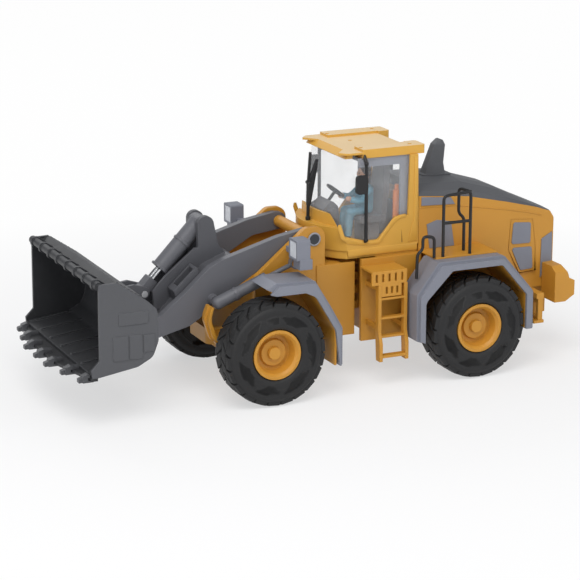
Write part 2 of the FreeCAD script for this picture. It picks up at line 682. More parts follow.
def tilt_reach():
    return math.hypot(TILT_PIN_X - TILT_PIVOT_X, TILT_PIN_Z - TILT_PIVOT_Z)


def tilt_rods():
    """Two bright rods side by side, joined by a piston inside the barrel."""
    length = tilt_reach()
    piston = axis_rod(tilt_axis, 17.0, 20.0, TILT_BORE - RUNNING_FIT)
    rods = [axis_rod(tilt_axis, 19.0, length - 12.0, 1.3, y) for y in (-2.6, 2.6)]
    return join([piston] + rods)


def tilt_clevis():
    """Grey end block on the rods, with a wide eye round the bucket's pin."""
    length = tilt_reach()
    x0, z0 = tilt_axis(length - 14.5)
    x1, z1 = tilt_axis(length)
    ux, uz = (x1 - x0) / 14.5, (z1 - z0) / 14.5
    half = 4.4
    block = plate([
        (x0 - uz * half, z0 + ux * half, 1.0),
        (x1 - uz * half, z1 + ux * half),
        (x1 + uz * half, z1 - ux * half),
        (x0 + uz * half, z0 - ux * half, 1.0),
    ], "xz", -5.6, 5.6)
    eye = rod((TILT_PIN_X, -5.6, TILT_PIN_Z), (TILT_PIN_X, 5.6, TILT_PIN_Z), TILT_PIN_RADIUS + TILT_PIN_PLAY + 1.4)
    body = join([block, eye])
    play = rod((TILT_PIN_X, -6, TILT_PIN_Z), (TILT_PIN_X, 6, TILT_PIN_Z), TILT_PIN_RADIUS + TILT_PIN_PLAY)
    holes = [axis_rod(tilt_axis, length - 15.0, length - 12.0, 1.3, y) for y in (-2.6, 2.6)]
    return body.cut(Part.makeCompound([play] + holes))


def lift_axis(distance):
    return along((LIFT_PIVOT_X, LIFT_PIVOT_Z), (LIFT_ANCHOR_X, LIFT_ANCHOR_Z), distance)


def lift_reach():
    return math.hypot(LIFT_ANCHOR_X - LIFT_PIVOT_X, LIFT_ANCHOR_Z - LIFT_PIVOT_Z)


LIFT_LENGTH = 46.0


def lift_barrel():
    """Left lift cylinder's barrel, with a rounded front end on the arm's pin."""
    cap = axis_rod(lift_axis, 0.0, 16.0, LIFT_RADIUS + 0.4, LIFT_Y)
    end = Part.makeSphere(LIFT_RADIUS + 0.4, V(LIFT_PIVOT_X, LIFT_Y, LIFT_PIVOT_Z))
    collar = axis_rod(lift_axis, 15.0, 18.0, LIFT_RADIUS + 0.8, LIFT_Y)
    tube = axis_rod(lift_axis, 16.0, LIFT_LENGTH, LIFT_RADIUS, LIFT_Y)
    body = join([cap, end, collar, tube])
    bore = axis_rod(lift_axis, 10.0, LIFT_LENGTH + 1.0, LIFT_ROD_RADIUS + RUNNING_FIT, LIFT_Y)
    eye = rod((LIFT_PIVOT_X, 0, LIFT_PIVOT_Z), (LIFT_PIVOT_X, LIFT_Y + 2.2, LIFT_PIVOT_Z), 2.0 + RUNNING_FIT)
    return body.cut(Part.makeCompound([bore, eye]))


def lift_rod():
    """Left lift cylinder's rod, with a wide eye round the frame's pin."""
    bar = axis_rod(lift_axis, 14.0, lift_reach() - 3.0, LIFT_ROD_RADIUS, LIFT_Y)
    half = LIFT_ROD_RADIUS + 0.6
    outer = LIFT_PIN_RADIUS + LIFT_PIN_PLAY + 1.2
    eye = rod((LIFT_ANCHOR_X, LIFT_Y - half, LIFT_ANCHOR_Z), (LIFT_ANCHOR_X, LIFT_Y + half, LIFT_ANCHOR_Z), outer)
    play = rod((LIFT_ANCHOR_X, 0, LIFT_ANCHOR_Z), (LIFT_ANCHOR_X, 90, LIFT_ANCHOR_Z), LIFT_PIN_RADIUS + LIFT_PIN_PLAY)
    return join([bar, eye]).cut(play)


# ---------------------------------------------------------------- bucket
LIP_BACK_X = 155.0
LIP_X = 160.0
LIP_TIP_X = 172.5
LIP_FLAT = 28.0
TOOTH_REACH = 8.5
FLOOR_Z = 45.0
LIP_THICK = 2.6
BUCKET_BACK_X = BUCKET_PIVOT_X + 9.2
SPILL_BAR_X = 152.3
SPILL_BAR_Z = 119.8
SPILL_BAR_RADIUS = 3.4
GUARD_BACK_X = 138.0
GUARD_TOP_Z = 121.8
GUARD_FRONT_X = 147.0
GUARD_DROP = 4.6
CLAW_COUNT = 8


def bucket_side():
    """Side view of the bucket, open at the front."""
    back = BUCKET_BACK_X
    return [
        (153.0, 121.4, 0.8),
        (GUARD_BACK_X, GUARD_TOP_Z),
        (112.0, 103.8, 4.0),
        (back + 0.8, 96.0, 4.0),
        (back, 70.0, 8.0),
        (back + 5.0, 57.0, 9.0),
        (back + 18.0, 50.2, 10.0),
        (LIP_BACK_X, FLOOR_Z),
        (LIP_X, FLOOR_Z),
        (LIP_X + 0.6, FLOOR_Z + 6.5),
        (153.6, FLOOR_Z + 13.5, 2.0),
    ]


def bucket_shell():
    """Bucket body: side plates, curved back, ribbed floor, and a slanted guard clawed to a round bar."""
    half = BUCKET_HALF_WIDTH
    back = BUCKET_BACK_X
    w = BUCKET_WALL
    body = plate(bucket_side(), "xz", -half, half)
    cavity = plate([
        (200.0, GUARD_TOP_Z + 10.0),
        (GUARD_BACK_X + 0.2, GUARD_TOP_Z + 10.0),
        (GUARD_BACK_X + 0.2, GUARD_TOP_Z),
        (GUARD_FRONT_X, GUARD_TOP_Z - GUARD_DROP),
        (GUARD_FRONT_X - 1.2, GUARD_TOP_Z - GUARD_DROP - w),
        (GUARD_BACK_X - 1.0, GUARD_TOP_Z - w - 0.4),
        (113.5, 103.8 - w, 4.0),
        (back + 0.8 + w, 95.5 - w, 3.0),
        (back + w, 71.0, 8.0),
        (back + 6.8, 59.5, 8.0),
        (back + 19.0, 52.9, 9.0),
        (200.0, FLOOR_Z + w - (200.0 - LIP_X) * 0.12),
    ], "xz", -half + w, half - w)
    body = body.cut(cavity)
    bar = rod((SPILL_BAR_X, -half + w, SPILL_BAR_Z), (SPILL_BAR_X, half - w, SPILL_BAR_Z), SPILL_BAR_RADIUS)
    ribs = []
    for y in tooth_places():
        ribs.append(plate([
            (back + 14.0, 54.0),
            (back + 22.0, 54.2),
            (LIP_X - 2.5, FLOOR_Z + w + 1.9),
            (LIP_X - 0.5, FLOOR_Z + 0.6),
            (back + 18.0, 51.0),
        ], "xz", y - 1.5, y + 1.5))
    panels = []
    for x0, x1, z0, z1 in ((112, 137, 86, 96), (129.3, 142, 57, 77), (117.3, 128, 57, 77), (106.5, 116, 62, 76)):
        panels.append(box(x0, x1, half - 0.5, half + 0.6, z0, z1))
    panels += [mirrored(p) for p in panels]
    claws = []
    front, low = GUARD_FRONT_X, GUARD_TOP_Z - GUARD_DROP
    for i in range(CLAW_COUNT):
        y = (half - 10.0) * (2.0 * i / (CLAW_COUNT - 1) - 1.0)
        claws.append(plate([
            (front - 4.5, low + 1.5),
            (SPILL_BAR_X - 2.0, SPILL_BAR_Z + 4.2, 3.0),
            (SPILL_BAR_X + 4.2, SPILL_BAR_Z + 4.2, 4.0),
            (SPILL_BAR_X + 4.2, SPILL_BAR_Z - 4.2, 4.0),
            (front - 0.5, low - 3.6, 2.0),
            (front - 5.0, low - 1.0),
        ], "xz", y - 1.6, y + 1.6))
    return join([body, bar] + ribs + panels + claws)


def lip_front(y):
    """Where the cutting edge ends in front: straight across the middle, swept back to both sides."""
    share = max(0.0, abs(y) - LIP_FLAT) / (BUCKET_HALF_WIDTH - LIP_FLAT)
    return LIP_TIP_X + (LIP_X - LIP_TIP_X) * share


def bucket_lip():
    """Spade-nosed cutting edge under the floor's front, standing furthest forward across the middle."""
    half = BUCKET_HALF_WIDTH - 1.0
    return plate([
        (LIP_BACK_X, -half),
        (LIP_BACK_X, half),
        (lip_front(half), half, 1.0),
        (LIP_TIP_X, LIP_FLAT),
        (LIP_TIP_X, -LIP_FLAT),
        (lip_front(half), -half, 1.0),
    ], "xy", FLOOR_Z - LIP_THICK, FLOOR_Z)


def tooth_places():
    reach = BUCKET_HALF_WIDTH - 7.0
    return [reach * (2.0 * i / (TOOTH_COUNT - 1) - 1.0) for i in range(TOOTH_COUNT)]


def bucket_teeth():
    """Short blunt teeth, each a stepped adapter clamped on the lip with a narrower point."""
    teeth = []
    for y in tooth_places():
        front = lip_front(y)
        back = max(front - 7.0, LIP_X + 0.4)
        adapter = plate([
            (back, FLOOR_Z),
            (back, FLOOR_Z + 2.4),
            (front + 0.5, FLOOR_Z + 3.4, 0.8),
            (front + 5.0, FLOOR_Z + 1.8),
            (front + 5.0, FLOOR_Z - 4.0),
            (front - 4.0, FLOOR_Z - 4.0),
            (front - 4.0, FLOOR_Z - LIP_THICK),
            (front + 0.6, FLOOR_Z - LIP_THICK),
            (front + 0.6, FLOOR_Z),
        ], "xz", y - 2.9, y + 2.9)
        point = plate([
            (front + 4.0, FLOOR_Z + 1.0),
            (front + TOOTH_REACH, FLOOR_Z - 0.4, 0.6),
            (front + TOOTH_REACH, FLOOR_Z - 3.8, 0.6),
            (front + 4.0, FLOOR_Z - 3.6),
        ], "xz", y - 2.2, y + 2.2)
        teeth.append(join([adapter, point]))
    return group(teeth)


def bucket_hinge_bracket():
    """Ears behind the bucket: two pairs for the lift arms and one pair for the tilt rod."""
    ears = []
    arm_gap = 0.4
    spots = []
    for side in (1, -1):
        spots.append(sorted((side * (ARM_OUTER + arm_gap), side * (ARM_OUTER + arm_gap + 3.0))))
        spots.append(sorted((side * (ARM_INNER - arm_gap), side * (ARM_INNER - arm_gap - 3.0))))
    for y0, y1 in spots:
        ears.append(plate([
            (BUCKET_BACK_X, BUCKET_PIVOT_Z - 5.0),
            (BUCKET_PIVOT_X, BUCKET_PIVOT_Z - 7.0, 5.0),
            (BUCKET_PIVOT_X - 7.0, BUCKET_PIVOT_Z, 6.5),
            (BUCKET_PIVOT_X, BUCKET_PIVOT_Z + 7.0, 5.0),
            (BUCKET_BACK_X, BUCKET_PIVOT_Z + 14.0),
        ], "xz", y0, y1).cut(rod((BUCKET_PIVOT_X, y0 - 1, BUCKET_PIVOT_Z), (BUCKET_PIVOT_X, y1 + 1, BUCKET_PIVOT_Z),
                                 BUCKET_PIN_RADIUS)))
    for side in (1, -1):
        y0, y1 = sorted((side * 6.1, side * 9.1))
        ears.append(plate([
            (BUCKET_BACK_X, BUCKET_PIVOT_Z + 14.0),
            (TILT_PIN_X + 2.0, TILT_PIN_Z - 5.2, 3.0),
            (TILT_PIN_X - 5.0, TILT_PIN_Z - 2.0, 4.0),
            (TILT_PIN_X - 3.6, TILT_PIN_Z + 5.0, 4.0),
            (TILT_PIN_X + 9.0, TILT_PIN_Z + 9.0, 3.0),
            (BUCKET_BACK_X, TILT_PIN_Z + 8.0),
        ], "xz", y0, y1).cut(rod((TILT_PIN_X, y0 - 1, TILT_PIN_Z), (TILT_PIN_X, y1 + 1, TILT_PIN_Z), TILT_PIN_RADIUS)))
    spine = plate([
        (BUCKET_BACK_X, BUCKET_PIVOT_Z + 14.0),
        (BUCKET_BACK_X, BUCKET_PIVOT_Z + 29.0),
        (BUCKET_BACK_X - 2.4, BUCKET_PIVOT_Z + 28.0),
        (BUCKET_BACK_X - 2.4, BUCKET_PIVOT_Z + 15.0),
    ], "xz", -ARM_OUTER - 3.4, ARM_OUTER + 3.4)
    ribs = []
    for y0, y1 in spots:
        ribs.append(box(BUCKET_BACK_X - 2.4, BUCKET_BACK_X, y0, y1, BUCKET_PIVOT_Z + 8.0, BUCKET_PIVOT_Z + 16.0))
    return join([spine] + ears + ribs)


def bucket_pins():
    """Two arm pins and the bright tilt pin."""
    pins = []
    for side in (1, -1):
        y0, y1 = sorted((side * (ARM_INNER - 3.4), side * (ARM_OUTER + 3.4)))
        pins.append(rod((BUCKET_PIVOT_X, y0, BUCKET_PIVOT_Z), (BUCKET_PIVOT_X, y1, BUCKET_PIVOT_Z), BUCKET_PIN_RADIUS))
    shank = rod((TILT_PIN_X, -9.1, TILT_PIN_Z), (TILT_PIN_X, 9.1, TILT_PIN_Z), TILT_PIN_RADIUS)
    heads = [rod((TILT_PIN_X, s * 9.1, TILT_PIN_Z), (TILT_PIN_X, s * 10.1, TILT_PIN_Z), 2.8) for s in (1, -1)]
    pins.append(join([shank] + heads))
    return group(pins)


# ---------------------------------------------------------------- rear chassis
CHASSIS_BOTTOM_Z = 35.0
CHASSIS_TOP_Z = 84.0
UNDERCAB_BACK_X = CAB_BACK_X
STEP_ARM_FRONT = 60.0
STEP_ARM_BACK = 67.0
STEP_ARM_Z = 62.0
SWITCH_TRAVEL = 3.0
SWITCH_Y = -FRAME_HALF_WIDTH - 4.0


def rear_arch_outline(offset):
    """The rear arch's inner line, moved outwards by an offset, from the front foot to the rear foot."""
    o = offset
    return [
        (REAR_X + 53.0 + o, 38.0),
        (REAR_X + 53.0 + o, 74.0 + o * 0.3, 8.0),
        (REAR_X + 28.0 + o * 0.4, 99.0 + o, 3.0),
        (REAR_X - 20.5 - o * 0.4, 99.0 + o, 3.0),
        (REAR_X - 45.5 - o, 70.0 + o * 0.3, 3.0),
        (REAR_X - 45.5 - o, 39.0),
    ]


def rear_arch_sheet():
    """Yellow sheet under the left rear fender, fixed to the sides of the chassis."""
    end = TYRE_OUTER - RIM_BAND - 0.3
    sheet = arch_band(rear_arch_outline(0.0), rear_arch_outline(ARCH_SHEET), FRAME_HALF_WIDTH, end)
    return sheet.cut(box(UNDERCAB_BACK_X, PIVOT_X, 0.0, REAR_WALL_OUTER, 0.0, 200.0))


def rear_arch_filled():
    """Everything under the left rear arch sheet, out to the tyre's side."""
    return plate(rear_arch_outline(ARCH_SHEET), "xz", FRAME_HALF_WIDTH - WALL, TYRE_OUTER)


def rear_chassis():
    """Rear half of the chassis: the box under the cab, the axle and battery box, and hinge forks."""
    half = FRAME_HALF_WIDTH
    under = box(UNDERCAB_BACK_X, BULKHEAD_X, -REAR_WALL_OUTER, REAR_WALL_OUTER, CHASSIS_BOTTOM_Z, CAB_FLOOR_Z)
    tub = box(BODY_BACK_X + 1.0, UNDERCAB_BACK_X + 1.0, -half, half, CHASSIS_BOTTOM_Z, CHASSIS_TOP_Z)
    solid = [under, tub]
    for side in (1, -1):
        y0, y1 = sorted((side * REAR_WALL_INNER, side * REAR_WALL_OUTER))
        solid.append(box(BULKHEAD_X - 1.0, PIVOT_X, y0, y1, CHASSIS_BOTTOM_Z, CAB_FLOOR_Z))
        cheek = rear_arch_filled().common(box(REAR_X - 45.0, UNDERCAB_BACK_X + 2.0, half - WALL, half, 80.0, 110.0))
        solid.append(cheek if side == 1 else mirrored(cheek))
        y0, y1 = sorted((side * (half - 1.0), side * (TYRE_OUTER - 8.0)))
        solid.append(box(REAR_X - STEP_ARM_BACK, REAR_X - STEP_ARM_FRONT, y0, y1, STEP_ARM_Z, STEP_ARM_Z + 5.0))
    for z in (52.5, 66.5, 78.5, 92.5):
        fork = plate([
            (BULKHEAD_X - 1.0, -12.0),
            (BULKHEAD_X - 1.0, 12.0),
            (PIVOT_X + 10.0, 10.0, 10.0),
            (PIVOT_X + 10.0, -10.0, 10.0),
        ], "xy", z, z + 6.8)
        solid.append(fork)
    body = join(solid)
    cuts = [
        box(UNDERCAB_BACK_X - 1.0, BULKHEAD_X - WALL, -REAR_WALL_OUTER + WALL, REAR_WALL_OUTER - WALL,
            CHASSIS_BOTTOM_Z + WALL, CAB_FLOOR_Z - WALL),
        box(BODY_BACK_X + 1.0 + WALL, UNDERCAB_BACK_X + 4.0, -half + WALL, half - WALL,
            CHASSIS_BOTTOM_Z + WALL, CHASSIS_TOP_Z - WALL),
        box(REAR_X - 80.0, REAR_X - 16.0, -26.0, 26.0, CHASSIS_BOTTOM_Z - 1.0, CHASSIS_BOTTOM_Z + WALL + 1.0),
        rod((PIVOT_X, 0, 50.0), (PIVOT_X, 0, FRAME_TOP_Z), STEER_PIN_RADIUS),
        axle_bore(REAR_X),
    ]
    body = body.cut(Part.makeCompound(cuts))
    back_wall = box(UNDERCAB_BACK_X, UNDERCAB_BACK_X + WALL, -REAR_WALL_OUTER + 1.0, REAR_WALL_OUTER - 1.0,
                    CHASSIS_TOP_Z - 1.0, CAB_FLOOR_Z - 1.0)
    return join([body, back_wall])


def battery_door():
    """Door in the chassis floor below the batteries."""
    return box(REAR_X - 79.8, REAR_X - 16.2, -25.8, 25.8, CHASSIS_BOTTOM_Z, CHASSIS_BOTTOM_Z + 2.0)


def battery_pack():
    """Four round cells side by side in a tray that stands on the chassis floor."""
    x0 = REAR_X - 78.0
    cells = [rod((x0 + 8.0 + 15.0 * i, -24.0, 52.0), (x0 + 8.0 + 15.0 * i, 24.0, 52.0), 7.0) for i in range(3)]
    tray = box(x0, x0 + 46.0, -24.0, 24.0, CHASSIS_BOTTOM_Z + 2.3, 50.0)
    return join([tray] + cells)


def circuit_board():
    """Receiver board with two chips, on posts inside the box under the cab."""
    x0, x1 = UNDERCAB_BACK_X + 6.0, BULKHEAD_X - 6.0
    board = box(x0, x1, -30.0, 30.0, 96.0, 97.6)
    chips = [box(x0 + 6.0, x0 + 16.0, y, y + 10.0, 93.5, 96.0) for y in (-20.0, 8.0)]
    posts = [box(x0 + 2.0, x0 + 5.0, s * 26.0 - 1.5, s * 26.0 + 1.5, 97.6, CAB_FLOOR_Z - WALL) for s in (1, -1)]
    posts += [box(x1 - 5.0, x1 - 2.0, s * 26.0 - 1.5, s * 26.0 + 1.5, 97.6, CAB_FLOOR_Z - WALL) for s in (1, -1)]
    return join([board] + chips + posts)


def steering_motor():
    """Steering gearbox on the floor of the box under the cab."""
    x0 = UNDERCAB_BACK_X + 5.0
    z = CHASSIS_BOTTOM_Z + WALL
    can = rod((x0 + 14.0, 12.0, z + 11.0), (x0 + 14.0, FRAME_HALF_WIDTH - 2.0, z + 11.0), 8.0)
    return join([box(x0, x0 + 28.0, -12.0, 12.0, z, z + 22.0), can])


def steering_pin():
    """Vertical hinge pin of the articulation joint."""
    return rod((PIVOT_X, 0, 52.0), (PIVOT_X, 0, 99.6), STEER_PIN_RADIUS)


def power_switch():
    """Slide switch's knob under the chassis, in a short slot."""
    z = CHASSIS_BOTTOM_Z
    x0, y = UNDERCAB_BACK_X + 8.0, SWITCH_Y
    return join([
        box(x0, x0 + 5.0, y - 2.0, y + 2.0, z + 0.4, z + WALL + 0.4),
        box(x0 - 4.0, x0 + 9.0, y - 3.5, y + 3.5, z + WALL + 0.4, z + WALL + 2.0),
    ])


def power_switch_slot():
    z = CHASSIS_BOTTOM_Z
    x0 = UNDERCAB_BACK_X + 8.0
    return box(x0 - 0.2, x0 + 5.2 + SWITCH_TRAVEL, SWITCH_Y - 2.2, SWITCH_Y + 2.2, z - 1.0, z + WALL + 0.1)


# ---------------------------------------------------------------- rear body
LID_EDGE = HOOD_HALF_WIDTH - 15.0
LID_STATIONS = (
    (CAB_BACK_X - 0.5, 155.5, 9.0, LID_EDGE),
    (REAR_X - 10.0, 151.0, 12.0, LID_EDGE),
    (BODY_BACK_X + 47.0, 142.0, 9.0, LID_EDGE - 2.0),
    (BODY_BACK_X + 19.0, 135.0, 3.0, LID_EDGE - 2.0),
    (BODY_BACK_X + 4.0, 130.0, 1.5, LID_EDGE),
)


def engine_cover():
    """Yellow engine cover: a shell over the rear chassis, open below and under its lid."""
    half = HOOD_HALF_WIDTH
    back = BODY_BACK_X
    top = [(x, z) for x, z, crown, width in LID_STATIONS]
    points = [(CAB_BACK_X - 0.4, CHASSIS_TOP_Z), (CAB_BACK_X - 0.4, top[0][1])] + top[1:] + [
        (back, 124.0, 6.0),
        (back, 62.0, 2.0),
        (REAR_X - 56.0, 62.0, 2.0),
        (REAR_X - 56.0, CHASSIS_TOP_Z),
    ]
    body = plate(points, "xz", -half, half)
    w = HOOD_WALL
    inner = [(CAB_BACK_X - 0.4 - w, CHASSIS_TOP_Z - 1.0), (CAB_BACK_X - 0.4 - w, top[0][1] + 1.0)]
    inner += [(x, z + 1.0) for x, z in top[1:-1]]
    inner += [(top[-1][0] + 1.0, top[-1][1] - 2.0), (back + w, 120.0, 4.0), (back + w, 61.0), (REAR_X - 56.0 + w, 61.0),
              (REAR_X - 56.0 + w, CHASSIS_TOP_Z - 1.0)]
    body = body.cut(plate(inner, "xz", -half + w, half - w))
    chassis = box(back + 0.8, CAB_BACK_X + 5.0, -FRAME_HALF_WIDTH - 0.2, FRAME_HALF_WIDTH + 0.2, 30.0, CHASSIS_TOP_Z)
    step_arm = box(REAR_X - STEP_ARM_BACK, REAR_X - STEP_ARM_FRONT, -half - 1.0, half + 1.0, STEP_ARM_Z, STEP_ARM_Z + 5.0)
    return body.cut(Part.makeCompound([chassis, both_sides(rear_arch_filled()), step_arm]))


def lid_section(x, z, crown, width, inset):
    half = HOOD_HALF_WIDTH - inset
    width = width - inset * 0.5
    crown = crown - inset * 0.8
    base = z - inset * 0.1
    points = [(-half, base), (half, base), (half - 3.0, z + crown * 0.4), (width, z + crown * 0.85), (width * 0.5, z + crown),
              (-width * 0.5, z + crown), (-width, z + crown * 0.85), (-half + 3.0, z + crown * 0.4)]
    return outline(points, "yz", x)


def engine_lid():
    """Dark crowned lid on the engine cover, hollow below, falling towards the back."""
    outside = Part.makeLoft([lid_section(*station, 0.0) for station in LID_STATIONS], True, True)
    hollow = [(x - 3.0 if i == 0 else x, z, crown, width) for i, (x, z, crown, width) in enumerate(LID_STATIONS[:3])]
    return outside.cut(Part.makeLoft([lid_section(*station, 3.0) for station in hollow], True, True))


STACK_TOP_Z = 193.5


def exhaust_stack():
    """Dark tapered intake stack on a foot plate that is shaped to the lid."""
    z, x = 164.4, REAR_X
    foot = plate([(x - 12.0, -11.0, 2.0), (x + 15.0, -9.0, 2.0), (x + 15.0, 9.0, 2.0), (x - 12.0, 11.0, 2.0)], "xy", 156.0, z)
    low = [(x - 6.5, -9.0), (x + 11.0, -5.0), (x + 11.0, 5.0), (x - 6.5, 9.0)]
    waist = [(x - 5.5, -7.5), (x + 7.5, -4.2), (x + 7.5, 4.2), (x - 5.5, 7.5)]
    high = [(x - 7.5, -6.5), (x + 1.5, -3.8), (x + 1.5, 3.8), (x - 7.5, 6.5)]
    tip = [(x - 6.0, -5.0), (x - 3.0, -3.4), (x - 3.0, 3.4), (x - 6.0, 5.0)]
    middle = z + 0.33 * (STACK_TOP_Z - z)
    stack = tapered(low, z, waist, middle, "xy")
    neck = tapered(waist, middle, high, STACK_TOP_Z - 4.0, "xy")
    cap = tapered(high, STACK_TOP_Z - 4.0, tip, STACK_TOP_Z, "xy")
    outside = Part.makeLoft([lid_section(*station, 0.0) for station in LID_STATIONS], True, True)
    return join([foot, stack, neck, cap]).cut(outside)


def side_panels():
    """Grey panels on both sides of the engine cover: vents near the back, trims and corner plates."""
    half = HOOD_HALF_WIDTH
    panels = []
    b, f = BODY_BACK_X, CAB_BACK_X
    shapes = (
        [(b + 41.0, 123.0, 2.0), (b + 23.5, 121.5, 2.0), (b + 23.5, 103.0, 2.0), (b + 42.5, 103.5, 2.0)],
        [(b + 42.5, 100.0, 2.0), (b + 22.0, 99.5, 2.0), (b + 20.5, 79.5, 2.0), (b + 33.0, 79.0, 2.0)],
        [(f - 2.5, 154.5), (f - 2.5, 147.0), (f - 35.0, 145.5), (f - 31.0, 151.8)],
        [(f - 8.0, 130.0), (f - 11.0, 108.6), (f - 35.0, 108.6), (f - 31.5, 130.5), (f - 18.0, 133.0)],
        [(b + 12.0, 105.5, 2.0), (b + 1.5, 111.0), (b + 1.0, 84.0), (b + 8.0, 76.0), (b + 12.5, 70.0)],
    )
    for points in shapes:
        panel = plate(points, "xz", half, half + PANEL_THICK)
        panels += [panel, mirrored(panel)]
    return group(panels)


def service_decks():
    """Yellow walkway decks beside the engine cover, over the rear fenders."""
    deck = box(REAR_X - 22.0, CAB_BACK_X - 0.5, HOOD_HALF_WIDTH, DECK_EDGE_Y, DECK_Z, DECK_Z + 1.4)
    return both_sides(deck)


def rear_fender():
    """Left rear fender: an angular grey band over the arch sheet, with a broad front leg."""
    inner = rear_arch_outline(ARCH_SHEET)
    outer = [
        (REAR_X + 60.0, 40.0),
        (REAR_X + 60.5, 80.0, 3.0),
        (REAR_X + 40.0, DECK_Z, 3.0),
        (REAR_X - 23.0, DECK_Z, 6.0),
        (REAR_X - 53.0, 72.0, 4.0),
        (REAR_X - 53.5, 39.0),
    ]
    bevel = [
        (REAR_X + 58.0, 40.0),
        (REAR_X + 58.0, 78.5, 3.0),
        (REAR_X + 38.5, DECK_Z - 2.6, 3.0),
        (REAR_X - 22.0, DECK_Z - 2.6, 6.0),
        (REAR_X - 51.0, 71.0, 4.0),
        (REAR_X - 51.5, 39.0),
    ]
    body_end = TYRE_OUTER - RIM_BAND
    band = arch_band(inner, outer, REAR_WALL_OUTER + 9.0, body_end)
    rim = arch_band(rear_arch_outline(0.0), bevel, body_end, TYRE_OUTER)
    return join([band, rim])


def rear_bumper():
    """Counterweight across the back: a full-width block, bevelled along its top, with a stepped rear profile."""
    front, back = BODY_BACK_X + 11.0, BODY_BACK_X - 14.0
    wide = TYRE_OUTER - 21.0
    plan = plate([
        (front, -wide),
        (front, wide),
        (back + 5.0, wide),
        (back, wide - 16.0),
        (back, 16.0 - wide),
        (back + 5.0, -wide),
    ], "xy", 45.0, 95.0)
    side = plate([
        (front, 84.0),
        (back + 15.0, 84.5),
        (back + 11.5, 77.0),
        (back + 10.5, 73.5),
        (back + 5.0, 71.0),
        (back, 67.0),
        (back, 60.0),
        (back + 5.0, 58.0),
        (back + 14.0, 52.5),
        (front, 52.5),
    ], "xz", -wide, wide)
    across = plate([
        (-wide, 50.0),
        (wide, 50.0),
        (wide, 79.5),
        (wide - 8.0, 85.0),
        (8.0 - wide, 85.0),
        (-wide, 79.5),
    ], "yz", back - 1.0, front + 1.0)
    reach = HOOD_HALF_WIDTH + PANEL_THICK + 0.1
    keep_out = box(BODY_BACK_X, front + 6.0, -reach, reach, 40.0, 100.0)
    return plan.common(side).common(across).cut(keep_out)


def rear_step():
    """Left step behind the rear wheel: an open frame of two posts with a foot plate."""
    x0 = REAR_X - STEP_ARM_BACK + 1.0
    y = TYRE_OUTER - 12.5
    frame = box(x0, x0 + 4.5, y - 7.0, y + 4.5, 42.5, STEP_ARM_Z)
    opening = box(x0 - 1.0, x0 + 6.0, y - 3.5, y + 1.0, 46.0, STEP_ARM_Z - 4.0)
    return join([frame.cut(opening), box(x0 - 1.0, x0 + 9.0, y - 7.5, y + 5.5, 40.5, 43.0)])


def handrails():
    """Black tube rails on both decks: a tall double rail and a low grab rail."""
    r = RAIL_RADIUS
    z = DECK_Z + 1.4
    y, y_in = RAIL_Y, RAIL_Y - 12.0
    front, back = REAR_X + 30.0, REAR_X + 4.0
    tall = [(front, y, z), (front, y, 161.0), (back, y, 163.0), (back, y, z)]
    inner = [(back, y, 163.0), (back + 5.0, y_in, 164.0), (back + 5.0, y_in, 142.0), (back - 0.5, y_in, 137.0),
             (back - 0.5, y_in, z)]
    rung = [(front, y, 137.5), (back, y, 137.5)]
    big = join([pipe_run(tall, r), pipe_run(inner, r), pipe_run(rung, r)])
    x = REAR_X + 55.0
    low = [(x, y, 91.8), (x - 0.6, y, 113.0), (x - 5.6, y, 117.0), (x - 5.6, y, 128.0), (x - 16.5, y, 126.5), (x - 16.5, y, z)]
    low_rail = pipe_run(low, r)
    return group([big, low_rail, mirrored(big), mirrored(low_rail)])


def ladder():
    """Left ladder: slotted platform plates over two side rails with rungs and a flared foot."""
    y = LADDER_Y
    x0, x1 = PIVOT_X + 1.5, REAR_X + 63.5
    top = box(x1, x0, y, y + 2.2, 89.5, 101.5)
    tread = box(x1, x0, REAR_WALL_OUTER, y + 0.2, 99.9, 101.5)
    step = (x0 - x1 - 3.0) / 5
    slots = []
    for i in range(5):
        x = x0 - 4.5 - step * i
        slots.append(box(x - step / 6, x + step / 6, y - 1.0, y + 3.0, 92.0, 99.0))
    low0, low1 = x0 - 6.0, x1 + 5.0
    lower = box(low1, low0, y + 0.4, y + 2.2, 79.0, 89.6)
    step = (low0 - low1 - 7.0) / 3
    for i in range(3):
        x = low1 + 4.0 + step * i
        slots.append(box(x - step / 5, x + step / 5, y - 1.0, y + 3.0, 81.5, 87.5))
    slots = Part.makeCompound(slots)
    rail_line = [(y - 3.0, 89.6), (y + 2.6, 89.6), (y + 2.6, 48.0), (y + 6.0, 38.0), (y + 6.0, 23.0), (y - 1.0, 23.0),
                 (y - 3.0, 48.0)]
    starts = (low0 - 3.0, x1 - 0.5)
    rails = [plate(rail_line, "yz", x, x + 3.0) for x in starts]
    rungs = [box(x1 + 1.5, low0 - 2.0, y - 2.6, y + 2.4, z, z + 1.8) for z in (76.2, 59.3, 43.0)]
    foot = box(x1 + 1.5, low0 - 2.0, y - 0.6, y + 5.8, 26.0, 28.2)
    brackets = [box(x, x + 3.0, REAR_WALL_OUTER, y - 2.0, z, z + 4.0) for x in starts for z in (50.0, 84.0)]
    return join([top.cut(slots), tread, lower.cut(slots)] + rails + rungs + [foot] + brackets)


# ---------------------------------------------------------------- cab
def cab_plan(inset, nose, level, lean=0.0):
    """Plan outline of the cab at a level: an arc in front, straight sides and a square back."""
    half = CAB_HALF_WIDTH - inset
    corner_x = PIVOT_X + CAB_SIDE_START - inset * 0.4 - lean * 0.5
    back = CAB_BACK_X + inset
    front = V(PIVOT_X + nose - inset - lean, 0, level)
    arc = Part.Arc(V(corner_x, half, level), front, V(corner_x, -half, level)).toShape()
    corners = [V(corner_x, -half, level), V(back, -half, level), V(back, half, level), V(corner_x, half, level)]
    return Part.Wire([arc] + Part.makePolygon(corners).Edges)


